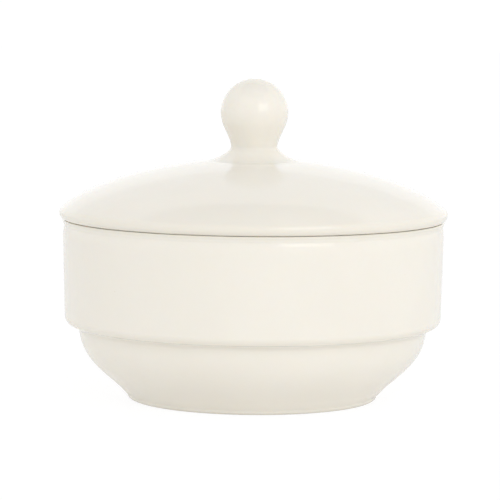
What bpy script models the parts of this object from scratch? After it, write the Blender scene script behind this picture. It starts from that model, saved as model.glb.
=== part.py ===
"""A covered sugar bowl in cream glazed hotel china.

A stacking bowl with a straight band above a narrower lower part, and a loose domed lid with a
ball knob. Metres, +Z up. The origin is on the bowl's axis, in the plane that its foot stands on.
All three pieces are turned: each is an outline of (radius, height) points swept about the axis.
"""

from math import asin, cos, degrees, radians, sin

import bpy
from mathutils import Vector
from mathutils.geometry import interpolate_bezier

# Bowl, outside
RIM_R = 0.0500  # outer radius of the band at the rim
RIM_Z = 0.0467  # height of the rim, which the lid rests on
RIM_ROUND = 0.0010  # rounding of the rim's two edges
BAND_FOOT_R = 0.0494  # the band draws in to this radius on its way down
BAND_CORNER = 0.0029  # rounding under the band
LEDGE_Z = 0.0194  # height of the stacking ledge under the band
LOWER_R = 0.0458  # radius of the lower part under the ledge
LOWER_LEAN = 5.5  # degrees between the lower wall and the axis, at the ledge
FOOT_TOP = (0.0349, 0.0032)  # where the lower wall meets the foot ring
FOOT_LEAN = 47.0  # degrees between the lower wall and the axis, at the foot ring
LOWER_PULLS = (0.0078, 0.0064)  # lengths of the lower wall's two Bezier handles
FOOT_R = 0.0328  # outer radius of the foot ring
FOOT_ROUND = 0.0010
FOOT_FACE_INNER_R = 0.0286  # inner edge of the face that the bowl stands on
RECESS_R = 0.0264  # radius of the recess inside the foot ring
RECESS_Z = 0.0018
RECESS_LEAN = 34.0  # degrees between the axis and the recess's wall, at the foot ring's face
RECESS_PULL = 0.0010

# Bowl, inside
MOUTH_R = 0.0464  # inner radius at the rim, wide enough for another bowl's lower part
BAND_INNER_END = (0.0457, 0.0290)  # bottom of the band's straight inner wall
STEP_INNER_END = (0.0409, 0.0170)  # bottom of the soft step that follows the ledge
STEP_INNER_LEAN = 20.0  # degrees between the inner wall and the axis there
STEP_PULLS = (0.0054, 0.0050)
FLOOR_EDGE = (0.0240, 0.0054)  # the floor is flat inside this point
FLOOR_PULLS = (0.0100, 0.0062)

# Lid. Heights are above its seat, the plane that rests on the rim.
REST_GAP = 0.0003  # clearance between pieces that touch
LID_R = 0.05086
NOSE_R = 0.00172  # half the thickness of the lid's round edge, its nose
CROWN_R = 0.1197  # radius of curvature of the dome's middle, its crown
CROWN_EDGE_R = 0.0303  # the crown ends at this distance from the axis
SHOULDER_R = 0.0803  # radius of curvature of the shoulder outside it
SHOULDER_EDGE_R = 0.04285
BROW_R = 0.0316  # radius of curvature of the brow, between the shoulder and the nose
LID_WALL = 0.0038
FLANGE_R = 0.0455  # the flange drops inside the bowl's mouth and keeps the lid centred
FLANGE_END_R = 0.0450
FLANGE_DEPTH = 0.0046
FLANGE_ROUND = 0.0012
FLANGE_INNER_R = 0.0421
FLANGE_ROOT_R = 0.0411  # radius at which the flange runs into the underside of the dome

# Knob. Heights are above the lid's seat.
BALL_R = 0.008825
BALL_Z = 0.02808
BALL_END = -20.5  # degrees from the ball's equator to where it runs into the neck
NECK = (0.00607, 0.01922)  # the neck at its narrowest
NECK_PULL = 0.0013
FLARE_PULL = 0.0017  # the flare starts straight down from the neck
FLARE_FOOT_PULL = 0.0018
FLARE_FOOT_RISE = 18.0  # degrees above level at which the flare leaves the knob's foot
KNOB_FOOT_R = 0.0096
KNOB_FOOT_EDGE = 0.0005

TURN_STEPS = 64  # facets round the bowl and the lid
KNOB_STEPS = 40

GLAZE = (0.87, 0.83, 0.75)
GLAZE_ROUGHNESS = 0.15

# The dome is three arcs, each tangent to the next, and the last is tangent to the nose.
CROWN_TILT = asin(CROWN_EDGE_R / CROWN_R)
SHOULDER_CENTRE_R = (CROWN_R - SHOULDER_R) * sin(CROWN_TILT)
SHOULDER_TILT = asin((SHOULDER_EDGE_R - SHOULDER_CENTRE_R) / SHOULDER_R)
BROW_CENTRE_R = SHOULDER_CENTRE_R + (SHOULDER_R - BROW_R) * sin(SHOULDER_TILT)
NOSE_CENTRE = (LID_R - NOSE_R, NOSE_R)
NOSE_TILT = asin((NOSE_CENTRE[0] - BROW_CENTRE_R) / (BROW_R - NOSE_R))
BROW_CENTRE = (BROW_CENTRE_R, NOSE_R - (BROW_R - NOSE_R) * cos(NOSE_TILT))
SHOULDER_CENTRE_Z = BROW_CENTRE[1] - (SHOULDER_R - BROW_R) * cos(SHOULDER_TILT)
SHOULDER_CENTRE = (SHOULDER_CENTRE_R, SHOULDER_CENTRE_Z)
CROWN_CENTRE = (0, SHOULDER_CENTRE_Z - (CROWN_R - SHOULDER_R) * cos(CROWN_TILT))


def arc(centre, radius, start, end, steps):
    """Points on a circle, from start to end in degrees, counted up from the outward direction."""
    angles = [radians(start + (end - start) * i / steps) for i in range(steps + 1)]
    return [(centre[0] + radius * cos(a), centre[1] + radius * sin(a)) for a in angles]


def curve(start, start_pull, end_pull, end, steps):
    """Points on a Bezier curve whose handles lie at start + start_pull and end + end_pull."""
    first, last = Vector(start), Vector(end)
    handles = (first + Vector(start_pull), last + Vector(end_pull))
    points = interpolate_bezier(
        first.to_3d(), handles[0].to_3d(), handles[1].to_3d(), last.to_3d(), steps + 1
    )
    return [(point.x, point.y) for point in points]


def down(length, lean=0.0):
    """A pull of this length down a wall that leans in towards the axis by lean degrees."""
    return (-length * sin(radians(lean)), -length * cos(radians(lean)))


def up(length, lean=0.0):
    return (length * sin(radians(lean)), length * cos(radians(lean)))


def dome_arc(centre, radius, from_tilt, to_tilt, steps):
    """An arc of the dome between two slopes, in radians from level."""
    return arc(centre, radius, 90 - degrees(from_tilt), 90 - degrees(to_tilt), steps)


def bowl_outline():
    """From the middle of the floor, up the inside, over the rim and down to the foot."""
    floor_end = down(FLOOR_PULLS[1], STEP_INNER_LEAN)
    inside = curve(FLOOR_EDGE, (FLOOR_PULLS[0], 0), floor_end, STEP_INNER_END, 9)
    step_start = up(STEP_PULLS[0], STEP_INNER_LEAN)
    inside += curve(STEP_INNER_END, step_start, down(STEP_PULLS[1]), BAND_INNER_END, 7)[1:]
    rim = arc((MOUTH_R + RIM_ROUND, RIM_Z - RIM_ROUND), RIM_ROUND, 180, 90, 3)
    rim += arc((RIM_R - RIM_ROUND, RIM_Z - RIM_ROUND), RIM_ROUND, 90, 0, 3)
    outside = arc((BAND_FOOT_R - BAND_CORNER, LEDGE_Z + BAND_CORNER), BAND_CORNER, 0, -90, 6)
    lower_start, lower_end = down(LOWER_PULLS[0], LOWER_LEAN), up(LOWER_PULLS[1], FOOT_LEAN)
    outside += curve((LOWER_R, LEDGE_Z), lower_start, lower_end, FOOT_TOP, 9)
    foot = arc((FOOT_R - FOOT_ROUND, FOOT_ROUND), FOOT_ROUND, 0, -90, 3)
    recess_start = up(RECESS_PULL, -RECESS_LEAN)
    foot += curve(
        (FOOT_FACE_INNER_R, 0), recess_start, (RECESS_PULL, 0), (RECESS_R, RECESS_Z), 4
    )
    return [(0, FLOOR_EDGE[1])] + inside + rim + outside + foot + [(0, RECESS_Z)]


def lid_outline():
    """From the top of the dome, round the nose, along the seat, round the flange and back."""
    top = dome_arc(CROWN_CENTRE, CROWN_R, 0, CROWN_TILT, 7)
    top += dome_arc(SHOULDER_CENTRE, SHOULDER_R, CROWN_TILT, SHOULDER_TILT, 4)[1:]
    top += dome_arc(BROW_CENTRE, BROW_R, SHOULDER_TILT, NOSE_TILT, 3)[1:]
    nose = arc(NOSE_CENTRE, NOSE_R, 90 - degrees(NOSE_TILT), 0, 3)[1:]
    nose += arc(NOSE_CENTRE, NOSE_R, 0, -90, 4)[1:]
    round_z = FLANGE_ROUND - FLANGE_DEPTH
    flange = [(FLANGE_R, 0)]
    flange += arc((FLANGE_END_R - FLANGE_ROUND, round_z), FLANGE_ROUND, 0, -90, 3)
    flange += arc((FLANGE_INNER_R + FLANGE_ROUND, round_z), FLANGE_ROUND, -90, -180, 3)[1:]
    inner_shoulder_r = SHOULDER_R - LID_WALL
    root_tilt = asin((FLANGE_ROOT_R - SHOULDER_CENTRE_R) / inner_shoulder_r)
    underside = dome_arc(SHOULDER_CENTRE, inner_shoulder_r, root_tilt, CROWN_TILT, 3)
    underside += dome_arc(CROWN_CENTRE, CROWN_R - LID_WALL, CROWN_TILT, 0, 6)[1:]
    return top + nose + flange + underside


def knob_outline():
    """From the top of the ball, down the neck to the flared foot, and back along the dome."""
    ball = arc((0, BALL_Z), BALL_R, 90, BALL_END, 13)
    neck = curve(ball[-1], down(NECK_PULL, -BALL_END), up(NECK_PULL), NECK, 5)[1:]
    over_dome_r = CROWN_R + REST_GAP
    foot_bottom = dome_arc(CROWN_CENTRE, over_dome_r, asin(KNOB_FOOT_R / over_dome_r), 0, 4)
    foot_top = (KNOB_FOOT_R, foot_bottom[0][1] + KNOB_FOOT_EDGE)
    flare_end = up(FLARE_FOOT_PULL, FLARE_FOOT_RISE - 90)
    flare = curve(NECK, down(FLARE_PULL), flare_end, foot_top, 6)[1:]
    return ball + neck + flare + foot_bottom


def glaze(name):
    material = bpy.data.materials.new(name)
    material.use_nodes = True
    shader = material.node_tree.nodes["Principled BSDF"]
    shader.inputs["Base Color"].default_value = (*GLAZE, 1)
    shader.inputs["Roughness"].default_value = GLAZE_ROUGHNESS
    shader.inputs["Metallic"].default_value = 0
    return material


def turned(name, outline, steps, parent=None):
    """An outline that starts and ends on the axis, swept round it into one closed solid."""
    points = [(radius if radius > 1e-6 else 0, 0, height) for radius, height in outline]
    mesh = bpy.data.meshes.new(name)
    mesh.from_pydata(points, [(i, i + 1) for i in range(len(points) - 1)], [])
    mesh.materials.append(glaze(name + "_glaze"))
    piece = bpy.data.objects.new(name, mesh)
    piece.parent = parent
    bpy.context.scene.collection.objects.link(piece)
    sweep = piece.modifiers.new("turn", "SCREW")
    sweep.axis = "Z"
    sweep.steps = sweep.render_steps = steps
    sweep.use_merge_vertices = True
    sweep.merge_threshold = 1e-5
    sweep.use_smooth_shade = True
    return piece


def lift_axis():
    """The empty that carries the lid. The lid lifts straight up from it, along the bowl's axis."""
    axis = bpy.data.objects.new("lid_lift_axis", None)
    axis.location = (0, 0, RIM_Z + REST_GAP)
    axis.empty_display_size = LID_R
    bpy.context.scene.collection.objects.link(axis)
    return axis


for leftover in list(bpy.data.objects):
    bpy.data.objects.remove(leftover)

turned("bowl", bowl_outline(), TURN_STEPS)
lid_axis = lift_axis()
turned("lid", lid_outline(), TURN_STEPS, lid_axis)
turned("knob", knob_outline(), KNOB_STEPS, lid_axis)
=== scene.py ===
"""The looks of the covered sugar bowl: glazed surfaces, floor, studio light and camera.

Metres, +Z up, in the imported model's frame. The three pieces are turned again here with fine
outlines, and each rides on the body of the piece that it replaces.
"""

from math import asin, atan2, cos, degrees, pi, radians, sin, sqrt, tan

import bpy
import numpy as np
from mathutils import Matrix, Vector
from mathutils.geometry import interpolate_bezier


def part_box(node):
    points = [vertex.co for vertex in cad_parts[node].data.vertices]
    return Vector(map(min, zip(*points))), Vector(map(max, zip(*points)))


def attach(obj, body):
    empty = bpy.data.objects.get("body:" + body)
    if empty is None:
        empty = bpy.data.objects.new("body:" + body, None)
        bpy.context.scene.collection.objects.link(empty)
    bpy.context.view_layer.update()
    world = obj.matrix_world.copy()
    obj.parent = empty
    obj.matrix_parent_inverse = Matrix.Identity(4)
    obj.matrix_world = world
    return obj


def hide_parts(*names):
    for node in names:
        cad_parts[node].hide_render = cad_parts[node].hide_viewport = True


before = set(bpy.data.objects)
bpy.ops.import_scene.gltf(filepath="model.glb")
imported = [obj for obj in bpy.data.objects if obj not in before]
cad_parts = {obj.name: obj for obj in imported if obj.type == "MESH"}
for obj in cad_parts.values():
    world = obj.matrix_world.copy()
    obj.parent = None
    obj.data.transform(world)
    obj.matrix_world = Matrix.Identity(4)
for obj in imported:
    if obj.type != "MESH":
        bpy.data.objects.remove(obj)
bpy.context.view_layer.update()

MM = 0.001

# Sizes read from the frame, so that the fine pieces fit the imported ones
bowl_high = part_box("bowl")[1]
lid_low, lid_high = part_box("lid")
knob_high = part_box("knob")[1]
RIM_R = bowl_high[0]
RIM_Z = bowl_high[2]
LID_R = lid_high[0]
KNOB_TOP = knob_high[2]
FLANGE_END_Z = lid_low[2]
REST_GAP = 0.3 * MM
SEAT_Z = RIM_Z + REST_GAP


# ---------------------------------------------------------------- outlines

SAME_POINT = 0.001 * MM  # points nearer to each other than this count as one


def arc(centre, radius, start, end, steps):
    """Points on a circle, from start to end in degrees, counted up from the outward direction."""
    angles = [radians(start + (end - start) * i / steps) for i in range(steps + 1)]
    return [(centre[0] + radius * cos(a), centre[1] + radius * sin(a)) for a in angles]


def curve(start, start_pull, end_pull, end, steps):
    """Points on a Bezier curve whose handles lie at start + start_pull and end + end_pull."""
    first, last = Vector(start), Vector(end)
    handles = (first + Vector(start_pull), last + Vector(end_pull))
    points = interpolate_bezier(
        first.to_3d(), handles[0].to_3d(), handles[1].to_3d(), last.to_3d(), steps + 1
    )
    return [(point.x, point.y) for point in points]


def line(start, end, steps):
    return [
        (start[0] + (end[0] - start[0]) * i / steps, start[1] + (end[1] - start[1]) * i / steps)
        for i in range(steps + 1)
    ]


def down(length, lean=0.0):
    """A pull of this length down a wall that leans in towards the axis by lean degrees."""
    return (-length * sin(radians(lean)), -length * cos(radians(lean)))


def up(length, lean=0.0):
    """The opposite pull, up the same wall."""
    return (length * sin(radians(lean)), length * cos(radians(lean)))


def joined(*runs):
    """Runs of points put end to end, without doubled points."""
    points = [runs[0][0]]
    for run in runs:
        for point in run:
            last = points[-1]
            if sqrt((point[0] - last[0]) ** 2 + (point[1] - last[1]) ** 2) > SAME_POINT:
                points.append(point)
    return points


# ---------------------------------------------------------------- bowl

RIM_TOP = SEAT_Z - 0.03 * MM  # the rim comes this near to the seated lid, without touching it
RIM_ROUND = 0.34 * MM
LIP_Z = 45.4 * MM  # crease under the lip, just below the rim
LIP_LEAN = 11.0  # degrees by which the wall leans back right below that crease
LIP_ARC_R = 15.0 * MM  # and the arc by which it straightens out into the band
BAND_FOOT_R = 49.4 * MM
BAND_CORNER = 2.3 * MM
LEDGE_Z = 19.4 * MM
LEDGE_FILLET = 1.5 * MM
LOWER_R = 45.6 * MM
LOWER_LEAN = 5.5
LOWER_PULLS = (7.4 * MM, 6.4 * MM)  # lengths of the curve's handles, at its top and its foot
FOOT_TOP = (34.9 * MM, 3.2 * MM)
FOOT_LEAN = 47.0
FOOT_R = 32.8 * MM
FOOT_ROUND = 1.0 * MM
FOOT_FACE_INNER_R = 28.6 * MM
RECESS_R = 26.4 * MM
RECESS_Z = 1.8 * MM
RECESS_PULLS = ((-0.6 * MM, 0.9 * MM), (0.9 * MM, 0))
MOUTH_R = 46.4 * MM
BAND_INNER_END = (45.7 * MM, 29.0 * MM)
STEP_INNER_END = (40.9 * MM, 17.0 * MM)
STEP_INNER_LEAN = 20.0
STEP_INNER_PULLS = (5.4 * MM, 5 * MM)
FLOOR_EDGE = (24.0 * MM, 5.4 * MM)
FLOOR_PULLS = (10 * MM, 6.2 * MM)


def bowl_outline():
    """From the middle of the floor, up the inside, over the rim and down to the foot."""
    floor = line((0, FLOOR_EDGE[1]), FLOOR_EDGE, 16)
    inside_pulls = ((FLOOR_PULLS[0], 0), down(FLOOR_PULLS[1], STEP_INNER_LEAN))
    inside = curve(FLOOR_EDGE, *inside_pulls, STEP_INNER_END, 28)
    step_pulls = (up(STEP_INNER_PULLS[0], STEP_INNER_LEAN), down(STEP_INNER_PULLS[1]))
    step = curve(STEP_INNER_END, *step_pulls, BAND_INNER_END, 18)
    inner_round = 2 * RIM_ROUND
    mouth = line(BAND_INNER_END, (MOUTH_R, RIM_TOP - inner_round), 14)
    rim = arc((MOUTH_R + inner_round, RIM_TOP - inner_round), inner_round, 180, 90, 12)
    rim_out = arc((RIM_R - RIM_ROUND, RIM_TOP - RIM_ROUND), RIM_ROUND, 90, 0, 10)
    band_foot = (BAND_FOOT_R, LEDGE_Z + BAND_CORNER)
    draft = atan2(RIM_R - BAND_FOOT_R, RIM_TOP - band_foot[1])
    straight_z = LIP_Z - LIP_ARC_R * (sin(radians(LIP_LEAN)) + sin(draft))
    straight_r = RIM_R - (RIM_TOP - straight_z) * tan(draft)
    lip_centre = (straight_r - LIP_ARC_R * cos(draft), straight_z + LIP_ARC_R * sin(draft))
    fade = arc(lip_centre, LIP_ARC_R, LIP_LEAN, -degrees(draft), 12)
    lip = line(rim_out[-1], fade[0], 5)
    band = line(fade[-1], band_foot, 18)
    corner = arc((BAND_FOOT_R - BAND_CORNER, LEDGE_Z + BAND_CORNER), BAND_CORNER, 0, -90, 16)
    fillet_centre = (LOWER_R + LEDGE_FILLET, LEDGE_Z - LEDGE_FILLET)
    fillet = arc(fillet_centre, LEDGE_FILLET, 90, 180, 6)
    lower_pulls = (down(LOWER_PULLS[0], LOWER_LEAN), up(LOWER_PULLS[1], FOOT_LEAN))
    lower = curve(fillet[-1], *lower_pulls, FOOT_TOP, 36)
    foot_side = line(FOOT_TOP, (FOOT_R, FOOT_ROUND), 5)
    foot = arc((FOOT_R - FOOT_ROUND, FOOT_ROUND), FOOT_ROUND, 0, -90, 8)
    face = line(foot[-1], (FOOT_FACE_INNER_R, 0), 6)
    recess = curve((FOOT_FACE_INNER_R, 0), *RECESS_PULLS, (RECESS_R, RECESS_Z), 10)
    base = line((RECESS_R, RECESS_Z), (0, RECESS_Z), 14)
    return joined(
        floor, inside, step, mouth, rim, rim_out, lip, fade, band, corner, fillet,
        lower, foot_side, foot, face, recess, base,
    )


# ---------------------------------------------------------------- lid

NOSE_R = 1.72 * MM
CROWN_R = 119.7 * MM
CROWN_EDGE_R = 30.3 * MM
SHOULDER_R = 80.3 * MM
SHOULDER_EDGE_R = 42.85 * MM
BROW_R = 31.6 * MM
LID_WALL = 3.8 * MM
FLANGE_R = 45.5 * MM
FLANGE_END_R = 45.0 * MM
FLANGE_ROUND = 1.2 * MM
FLANGE_FILLET = 0.4 * MM
FLANGE_INNER_R = 42.1 * MM
FLANGE_ROOT_R = 41.1 * MM
FLANGE_INNER_PULLS = ((0.1 * MM, 5.5 * MM), (1.6 * MM, -0.7 * MM))

# The dome is three arcs, crown, shoulder and brow, each tangent to the next, and then the nose.
CROWN_TILT = asin(CROWN_EDGE_R / CROWN_R)
SHOULDER_CENTRE_R = (CROWN_R - SHOULDER_R) * sin(CROWN_TILT)
SHOULDER_TILT = asin((SHOULDER_EDGE_R - SHOULDER_CENTRE_R) / SHOULDER_R)
BROW_CENTRE_R = SHOULDER_CENTRE_R + (SHOULDER_R - BROW_R) * sin(SHOULDER_TILT)
NOSE_CENTRE = (LID_R - NOSE_R, SEAT_Z + NOSE_R)
NOSE_TILT = asin((NOSE_CENTRE[0] - BROW_CENTRE_R) / (BROW_R - NOSE_R))
BROW_CENTRE_Z = NOSE_CENTRE[1] - (BROW_R - NOSE_R) * cos(NOSE_TILT)
SHOULDER_CENTRE_Z = BROW_CENTRE_Z - (SHOULDER_R - BROW_R) * cos(SHOULDER_TILT)
CROWN_CENTRE_Z = SHOULDER_CENTRE_Z - (CROWN_R - SHOULDER_R) * cos(CROWN_TILT)
CROWN_CENTRE = (0, CROWN_CENTRE_Z)
SHOULDER_CENTRE = (SHOULDER_CENTRE_R, SHOULDER_CENTRE_Z)
BROW_CENTRE = (BROW_CENTRE_R, BROW_CENTRE_Z)


def dome_arc(centre, radius, from_tilt, to_tilt, steps):
    """An arc of the dome between two slopes, in radians from level."""
    return arc(centre, radius, 90 - degrees(from_tilt), 90 - degrees(to_tilt), steps)


def lid_outline():
    """From the top of the dome, round the nose, along the seat, round the flange and back."""
    dome = joined(
        dome_arc(CROWN_CENTRE, CROWN_R, 0, CROWN_TILT, 26),
        dome_arc(SHOULDER_CENTRE, SHOULDER_R, CROWN_TILT, SHOULDER_TILT, 14),
        dome_arc(BROW_CENTRE, BROW_R, SHOULDER_TILT, NOSE_TILT, 10),
    )
    nose = arc(NOSE_CENTRE, NOSE_R, 90 - degrees(NOSE_TILT), 0, 14)
    nose += arc(NOSE_CENTRE, NOSE_R, 0, -90, 16)[1:]
    root_centre = (FLANGE_R + FLANGE_FILLET, SEAT_Z - FLANGE_FILLET)
    seat = line(nose[-1], (root_centre[0], SEAT_Z), 4)
    root = arc(root_centre, FLANGE_FILLET, 90, 180, 4)
    round_z = FLANGE_END_Z + FLANGE_ROUND
    side = line(root[-1], (FLANGE_END_R, round_z), 6)
    end = arc((FLANGE_END_R - FLANGE_ROUND, round_z), FLANGE_ROUND, 0, -90, 8)
    end_inner = arc((FLANGE_INNER_R + FLANGE_ROUND, round_z), FLANGE_ROUND, -90, -180, 8)
    inner_shoulder = SHOULDER_R - LID_WALL
    root_tilt = asin((FLANGE_ROOT_R - SHOULDER_CENTRE_R) / inner_shoulder)
    under = dome_arc(SHOULDER_CENTRE, inner_shoulder, root_tilt, CROWN_TILT, 20)
    inner_side = curve(end_inner[-1], *FLANGE_INNER_PULLS, under[1], 12)
    under_crown = dome_arc(CROWN_CENTRE, CROWN_R - LID_WALL, CROWN_TILT, 0, 18)
    return joined(dome, nose, seat, root, side, end, end_inner, inner_side, under[1:], under_crown)


# ---------------------------------------------------------------- knob

BALL_R = 8.825 * MM
BALL_Z = KNOB_TOP - BALL_R
BALL_END = -20.5  # degrees at which the ball gives way to the neck
NECK = (6.07 * MM, SEAT_Z + 19.22 * MM)
NECK_PULL = 1.33 * MM
FLARE_R = 12.4 * MM
FLARE_PULLS = (1.68 * MM, 1.67 * MM)
SINK = 0.035 * MM  # how far the flare's rim dips under the dome
BASE_DEPTH = 0.3 * MM  # and how far below that rim the knob's hidden base lies


def dome_z(radius):
    return CROWN_CENTRE_Z + sqrt(CROWN_R**2 - radius**2)


def knob_outline():
    """From the top of the ball, down the neck and out over the flare that runs into the dome."""
    ball = arc((0, BALL_Z), BALL_R, 90, BALL_END, 44)
    neck = curve(ball[-1], down(NECK_PULL, -BALL_END), up(NECK_PULL), NECK, 14)
    rim = (FLARE_R, dome_z(FLARE_R) - SINK)
    slope = FLARE_R / CROWN_R
    rim_pull = (-FLARE_PULLS[1], FLARE_PULLS[1] * slope)
    flare = curve(NECK, down(FLARE_PULLS[0]), rim_pull, rim, 22)
    base_z = rim[1] - BASE_DEPTH
    base = line((FLARE_R, base_z), (0, base_z), 6)
    return joined(ball, neck, flare, base)


# ---------------------------------------------------------------- turning

TURN_STEPS = 192
KNOB_STEPS = 128
WOBBLE = 0.035 * MM  # how far the fired clay strays inwards from a true circle
WAVES = ((2, 0.5, 1.0), (3, 0.3, 2.1), (5, 0.2, 3.7))  # waves round, share, times the phase
GLAZE_REACH = 0.7 * MM  # how far melted glaze runs along the surface
EDGE_CURVATURE = (0.15 / MM, 0.85 / MM)  # glaze draws thin between these, on an edge
CREASE_CURVATURE = (0.06 / MM, 0.50 / MM)  # and it pools between these, in a crease


def ramp(values, low, high):
    """0 below low and 1 above high, with a smooth rise between them."""
    t = np.clip((values - low) / (high - low), 0, 1)
    return t * t * (3 - 2 * t)


def curvature(outline):
    """How sharply the outline bends at each point, smoothed over GLAZE_REACH. Edges are positive."""
    points = np.array(outline)
    steps = np.diff(points, axis=0)
    lengths = np.hypot(steps[:, 0], steps[:, 1])
    headings = np.arctan2(steps[:, 1], steps[:, 0])
    turns = (np.diff(headings) + pi) % (2 * pi) - pi
    travelled = np.concatenate([[0], np.cumsum(lengths)])
    apart = travelled[:, None] - travelled[None, 1:-1]
    spread = np.exp(-0.5 * (apart / GLAZE_REACH) ** 2) / (GLAZE_REACH * sqrt(2 * pi))
    return -(spread @ turns)


def wobble(angles, phase):
    """A smooth out-of-roundness between 0 and 1, made of a few low harmonics."""
    waves = sum(share * np.sin(count * angles + times * phase) for count, share, times in WAVES)
    return 0.5 + 0.5 * waves


def turned(name, outline, steps, phase, bare):
    """An outline that starts and ends on the axis, swept round it into one closed mesh.

    The mesh carries three attributes for the glaze: thin on edges, pool in creases, and bare,
    where the piece was wiped clean of glaze before firing.
    """
    inner = np.array(outline[1:-1])
    rings = len(inner)
    angles = np.linspace(0, 2 * pi, steps, endpoint=False)
    radii = inner[:, :1] - WOBBLE * wobble(angles, phase) * inner[:, :1] / LID_R
    x = (radii * np.cos(angles)).ravel()
    y = (radii * np.sin(angles)).ravel()
    z = np.repeat(inner[:, 1], steps)
    points = [(0, 0, outline[0][1])] + list(zip(x, y, z)) + [(0, 0, outline[-1][1])]
    faces = []
    for j in range(steps):
        k = (j + 1) % steps
        faces.append((0, 1 + j, 1 + k))
        for i in range(rings - 1):
            a, b = 1 + i * steps, 1 + (i + 1) * steps
            faces.append((a + j, b + j, b + k, a + k))
        last = 1 + (rings - 1) * steps
        faces.append((last + j, len(points) - 1, last + k))
    mesh = bpy.data.meshes.new(name)
    mesh.from_pydata(points, [], faces)
    mesh.shade_smooth()
    bend = curvature(outline)
    layers = {
        "thin": ramp(bend, *EDGE_CURVATURE),
        "pool": ramp(-bend, *CREASE_CURVATURE),
        "bare": np.array([float(bare(radius, height)) for radius, height in outline]),
    }
    for layer, values in layers.items():
        attribute = mesh.attributes.new(layer, "FLOAT", "POINT")
        spread = np.concatenate([values[:1], np.repeat(values[1:-1], steps), values[-1:]])
        attribute.data.foreach_set("value", spread)
    piece = bpy.data.objects.new(name, mesh)
    bpy.context.scene.collection.objects.link(piece)
    return piece


# ---------------------------------------------------------------- glaze

# Colours, in linear light: cream under clear glaze, and the clay where it is bare
TONES = ((0.862, 0.826, 0.748, 1), (0.878, 0.842, 0.766, 1))
GRAIN_TONE = (0.840, 0.790, 0.680, 1)
POOL_TONE = (0.800, 0.745, 0.620, 1)
THIN_TONE = (0.785, 0.740, 0.645, 1)
SPECK_TONE = (0.480, 0.385, 0.260, 1)
CLAY_TONES = ((0.70, 0.655, 0.575, 1), (0.79, 0.75, 0.67, 1))

# How strongly each of them tints the glaze
GRAIN_TINT = 0.10
POOL_TINT = 0.12
THIN_TINT = 0.55
SPECK_TINT = 0.30

# Scales of the noises and cells, in features to the metre
CLOUDS = 45
GRAIN = 900
SPECKS = 260
CLAY_CLOUDS = 1500
GLAZE_LINE_WAVES = 500
GLOSS = 130
RUB = 1100
LONG_RIPPLE = 95
SHORT_RIPPLE = 380
CLAY_GRAIN = 3000

# The parts of a noise's range that are used, with what lies beyond them cut off
MIDDLE = (0.3, 0.7)
NARROW_MIDDLE = (0.35, 0.65)
RUB_RANGE = (0.52, 0.70)

SPECKLESS = 0.93  # the share of cells that hold no speck and no pinhole
SPECK_RADII = (0.020, 0.040)  # a speck fades out between these
PINHOLE_RADII = (0.015, 0.05)  # and a pinhole between these
GLAZE_LINE_WANDER = 0.5
GLAZE_LINE = (0.62, 0.80)  # glaze ends where the bare mask and its wander add up to this
GLAZE_ROUGHNESS = (0.040, 0.065)
RUB_ROUGHNESS = 0.16  # the most that wear adds on an edge
CLAY_ROUGHNESS = 0.72
GLAZE_IOR = 1.52

# Heights of the bumps, in millimetres
LONG_RIPPLE_HEIGHT = 0.030
SHORT_RIPPLE_HEIGHT = 0.0035
PINHOLE_HEIGHT = -0.010
CLAY_GRAIN_HEIGHT = 0.03

# Light that soaks into the body
SOAK_WEIGHT = 0.25
SOAK_RADIUS = (1.0, 0.8, 0.55)
SOAK_SCALE = 1.5 * MM

# How far the wiped faces reach, above their lowest points and round the foot's inner edge
FOOT_WIPE = 0.02 * MM
FOOT_WIPE_INWARD = 0.01 * MM
FLANGE_WIPE = 0.15 * MM


class Nodes:
    """A short way to add linked nodes to a material or a world."""

    def __init__(self, owner):
        self.owner = owner
        self.owner.use_nodes = True
        self.tree = self.owner.node_tree

    def add(self, kind, inputs=(), **settings):
        node = self.tree.nodes.new("ShaderNode" + kind)
        for key, value in settings.items():
            setattr(node, key, value)
        for key, value in dict(inputs).items():
            self.put(node.inputs[key], value)
        return node

    def put(self, socket, value):
        if isinstance(value, bpy.types.NodeSocket):
            self.tree.links.new(value, socket)
        else:
            socket.default_value = value

    def noise(self, place, scale, detail=2.0, roughness=0.5):
        inputs = {"Vector": place, "Scale": scale, "Detail": detail, "Roughness": roughness}
        return self.add("TexNoise", inputs).outputs["Fac"]

    def math(self, operation, first, second=0.0, third=0.0):
        inputs = {0: first, 1: second, 2: third}
        return self.add("Math", inputs, operation=operation).outputs[0]

    def span(self, value, low, high, to_low=0.0, to_high=1.0):
        """Carry a value from the range low..high over to the range to_low..to_high, clamped."""
        inputs = {"Value": value, "From Min": low, "From Max": high}
        inputs.update({"To Min": to_low, "To Max": to_high})
        return self.add("MapRange", inputs).outputs["Result"]

    def mix(self, factor, first, second):
        node = self.add("Mix", {0: factor, 6: first, 7: second}, data_type="RGBA")
        return node.outputs[2]

    def attribute(self, name):
        return self.add("Attribute", attribute_name=name).outputs["Fac"]


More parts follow.
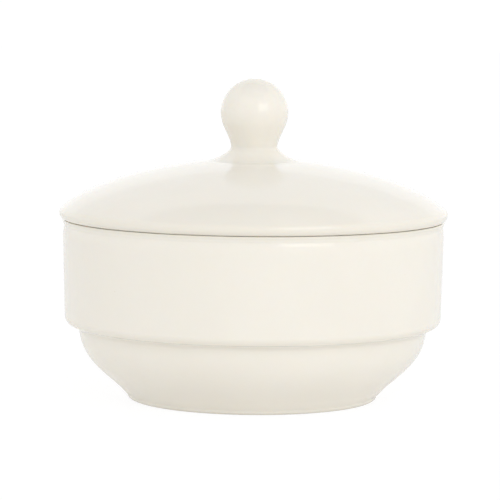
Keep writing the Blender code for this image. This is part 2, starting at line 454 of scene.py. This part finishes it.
def glaze():
    """Clear glossy glaze over a cream body: cloudy tone, thin edges, pooled creases, fine ripple."""
    n = Nodes(bpy.data.materials.new("cream_glaze"))
    shader = n.tree.nodes["Principled BSDF"]
    place = n.add("TexCoord").outputs["Object"]
    thin, pool, bare = n.attribute("thin"), n.attribute("pool"), n.attribute("bare")

    # Colour
    clouds = n.span(n.noise(place, CLOUDS, detail=3.0), *NARROW_MIDDLE)
    tone = n.mix(clouds, *TONES)
    grain = n.span(n.noise(place, GRAIN, detail=2.0), *MIDDLE)
    tone = n.mix(n.math("MULTIPLY", grain, GRAIN_TINT), tone, GRAIN_TONE)
    tone = n.mix(n.math("MULTIPLY", pool, POOL_TINT), tone, POOL_TONE)
    tone = n.mix(n.math("MULTIPLY", thin, THIN_TINT), tone, THIN_TONE)
    cells = n.add("TexVoronoi", {"Vector": place, "Scale": SPECKS, "Randomness": 1.0})
    draw = n.add("SeparateColor", {0: cells.outputs["Color"]}).outputs[0]
    chosen = n.math("GREATER_THAN", draw, SPECKLESS)
    speck = n.span(cells.outputs["Distance"], *SPECK_RADII, 1.0, 0.0)
    speck = n.math("MULTIPLY", n.math("MULTIPLY", speck, chosen), SPECK_TINT)
    tone = n.mix(speck, tone, SPECK_TONE)
    clay_clouds = n.span(n.noise(place, CLAY_CLOUDS, detail=4.0), *NARROW_MIDDLE)
    clay = n.mix(clay_clouds, *CLAY_TONES)
    wander = n.math("MULTIPLY", n.noise(place, GLAZE_LINE_WAVES), GLAZE_LINE_WANDER)
    unglazed = n.span(n.math("ADD", bare, wander), *GLAZE_LINE)
    n.put(shader.inputs["Base Color"], n.mix(unglazed, tone, clay))

    # Gloss, a little worn where the glaze is thin
    gloss = n.span(n.noise(place, GLOSS, detail=4.0), *MIDDLE, *GLAZE_ROUGHNESS)
    rub = n.span(n.noise(place, RUB, detail=5.0, roughness=0.7), *RUB_RANGE, 0.0, RUB_ROUGHNESS)
    gloss = n.math("MULTIPLY_ADD", rub, thin, gloss)
    clay_roughness = n.math("MULTIPLY", unglazed, CLAY_ROUGHNESS)
    n.put(shader.inputs["Roughness"], n.math("MAXIMUM", gloss, clay_roughness))
    shader.inputs["IOR"].default_value = GLAZE_IOR

    # Ripple of the melted glaze, pinholes, and the clay's grain where it is bare
    ripple = n.math("MULTIPLY", n.noise(place, LONG_RIPPLE, detail=1.0), LONG_RIPPLE_HEIGHT)
    short_ripple = n.noise(place, SHORT_RIPPLE, detail=2.0)
    ripple = n.math("MULTIPLY_ADD", short_ripple, SHORT_RIPPLE_HEIGHT, ripple)
    pinhole = n.span(cells.outputs["Distance"], *PINHOLE_RADII, 1.0, 0.0)
    pinhole = n.math("MULTIPLY", pinhole, PINHOLE_HEIGHT)
    ripple = n.math("MULTIPLY_ADD", pinhole, chosen, ripple)
    clay_grain = n.math("MULTIPLY", n.noise(place, CLAY_GRAIN, detail=3.0), CLAY_GRAIN_HEIGHT)
    ripple = n.math("MULTIPLY_ADD", clay_grain, unglazed, ripple)
    bump = n.add("Bump", {"Height": ripple, "Strength": 1.0, "Distance": MM})
    n.put(shader.inputs["Normal"], bump.outputs["Normal"])

    shader.inputs["Subsurface Weight"].default_value = SOAK_WEIGHT
    shader.inputs["Subsurface Radius"].default_value = SOAK_RADIUS
    shader.inputs["Subsurface Scale"].default_value = SOAK_SCALE
    return n.owner


def foot_face(radius, height):
    return height < FOOT_WIPE and radius > FOOT_FACE_INNER_R - FOOT_WIPE_INWARD


def flange_face(radius, height):
    return height < FLANGE_END_Z + FLANGE_WIPE


def glazed_all_over(radius, height):
    return False


bowl = turned("sugar_bowl", bowl_outline(), TURN_STEPS, phase=0.6, bare=foot_face)
lid = turned("domed_lid", lid_outline(), TURN_STEPS, phase=2.2, bare=flange_face)
knob = turned("ball_knob", knob_outline(), KNOB_STEPS, phase=4.1, bare=glazed_all_over)
cream_glaze = glaze()
for piece, node, body in ((bowl, "bowl", "bowl"), (lid, "lid", "lid"), (knob, "knob", "lid")):
    piece.data.materials.append(cream_glaze)
    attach(piece, body)
    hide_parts(node)


# ---------------------------------------------------------------- stage and light

FLOOR_HALF = 3.0
LIGHT_DISTANCE = 1.2
LIGHT_TARGET = Vector((0, 0, 0.04))

# A white room: even walls, and a dimmer ceiling that the lid mirrors as a darker patch
WALLS = 1.03
CEILING = 0.56
CEILING_EDGE = (53.0, 57.0)  # degrees up, between which the walls give way to the ceiling


def matte_sheet(name, material, height, white, glow):
    """A level square of the stage, in a matte white that also gives off light by itself."""
    n = Nodes(bpy.data.materials.new(material))
    shader = n.tree.nodes["Principled BSDF"]
    shader.inputs["Base Color"].default_value = (white, white, white, 1)
    shader.inputs["Roughness"].default_value = 1.0
    shader.inputs["Specular IOR Level"].default_value = 0.0
    shader.inputs["Emission Color"].default_value = (1, 1, 1, 1)
    shader.inputs["Emission Strength"].default_value = glow
    half = FLOOR_HALF
    corners = [(-half, -half, 0), (half, -half, 0), (half, half, 0), (-half, half, 0)]
    mesh = bpy.data.meshes.new(name)
    mesh.from_pydata(corners, [], [(0, 1, 2, 3)])
    mesh.materials.append(n.owner)
    piece = bpy.data.objects.new(name, mesh)
    piece.location.z = height
    bpy.context.scene.collection.objects.link(piece)
    return piece


def heading(azimuth, elevation):
    """The direction seen at this many degrees to the camera's right and up, from the bowl."""
    across, up_by = radians(azimuth), radians(elevation)
    return Vector((sin(across) * cos(up_by), -cos(across) * cos(up_by), sin(up_by)))


def panel(name, azimuth, elevation, spread, radiance):
    """A square-edged light aimed at the bowl. Its spread is in degrees, across and up."""
    light = bpy.data.lights.new(name, "AREA")
    light.shape = "RECTANGLE"
    light.size = 2 * LIGHT_DISTANCE * tan(radians(spread[0] / 2))
    light.size_y = 2 * LIGHT_DISTANCE * tan(radians(spread[1] / 2))
    light.energy = radiance * pi * light.size * light.size_y
    piece = bpy.data.objects.new(name, light)
    toward = heading(azimuth, elevation)
    piece.location = LIGHT_TARGET + LIGHT_DISTANCE * toward
    piece.rotation_euler = toward.to_track_quat("Z", "Y").to_euler()
    piece.visible_camera = False
    bpy.context.scene.collection.objects.link(piece)


def studio():
    """The light of the walls and the ceiling."""
    n = Nodes(bpy.data.worlds.new("studio"))
    way = n.add("TexCoord").outputs["Generated"]
    height = n.add("SeparateXYZ", {0: way}).outputs["Z"]
    low, high = (sin(radians(edge)) for edge in CEILING_EDGE)
    background = n.tree.nodes["Background"]
    background.inputs["Color"].default_value = (1, 1, 1, 1)
    n.put(background.inputs["Strength"], n.span(height, low, high, WALLS, CEILING))
    return n.owner


# The white floor that the camera sees
floor = matte_sheet("floor", "white_floor", -0.05 * MM, white=0.15, glow=0.88)
floor.visible_diffuse = False
floor.visible_glossy = False

panel("softbox", azimuth=31.5, elevation=21.0, spread=(32.0, 25.0), radiance=1.8)
panel("backdrop_light", azimuth=180.0, elevation=13.0, spread=(140.0, 24.0), radiance=0.12)

# The matte white floor that lights the bowl from below and shows in its glaze
bounce = matte_sheet("bounce_floor", "matte_floor", -0.10 * MM, white=0.90, glow=0.15)
bounce.visible_camera = False

bpy.context.scene.world = studio()


# ---------------------------------------------------------------- camera

CAMERA_DISTANCE = 0.800
CAMERA_ELEVATION = 5.54
CAMERA_ROLL = 0.52
SENSOR_WIDTH = 36
LENS = 219.4
CLIP = (0.01, 20)
AIM = Vector((-0.86 * MM, 0, 38.9 * MM))

camera_data = bpy.data.cameras.new("camera")
camera_data.sensor_width = SENSOR_WIDTH
camera_data.lens = LENS
camera_data.clip_start, camera_data.clip_end = CLIP
camera = bpy.data.objects.new("camera", camera_data)
elevation = radians(CAMERA_ELEVATION)
camera.location = AIM + CAMERA_DISTANCE * Vector((0, -cos(elevation), sin(elevation)))
look = Matrix.Rotation(pi / 2 - elevation, 3, "X") @ Matrix.Rotation(radians(CAMERA_ROLL), 3, "Z")
camera.rotation_euler = look.to_euler()
bpy.context.scene.collection.objects.link(camera)
bpy.context.scene.camera = camera
bpy.context.scene.view_settings.view_transform = "Standard"
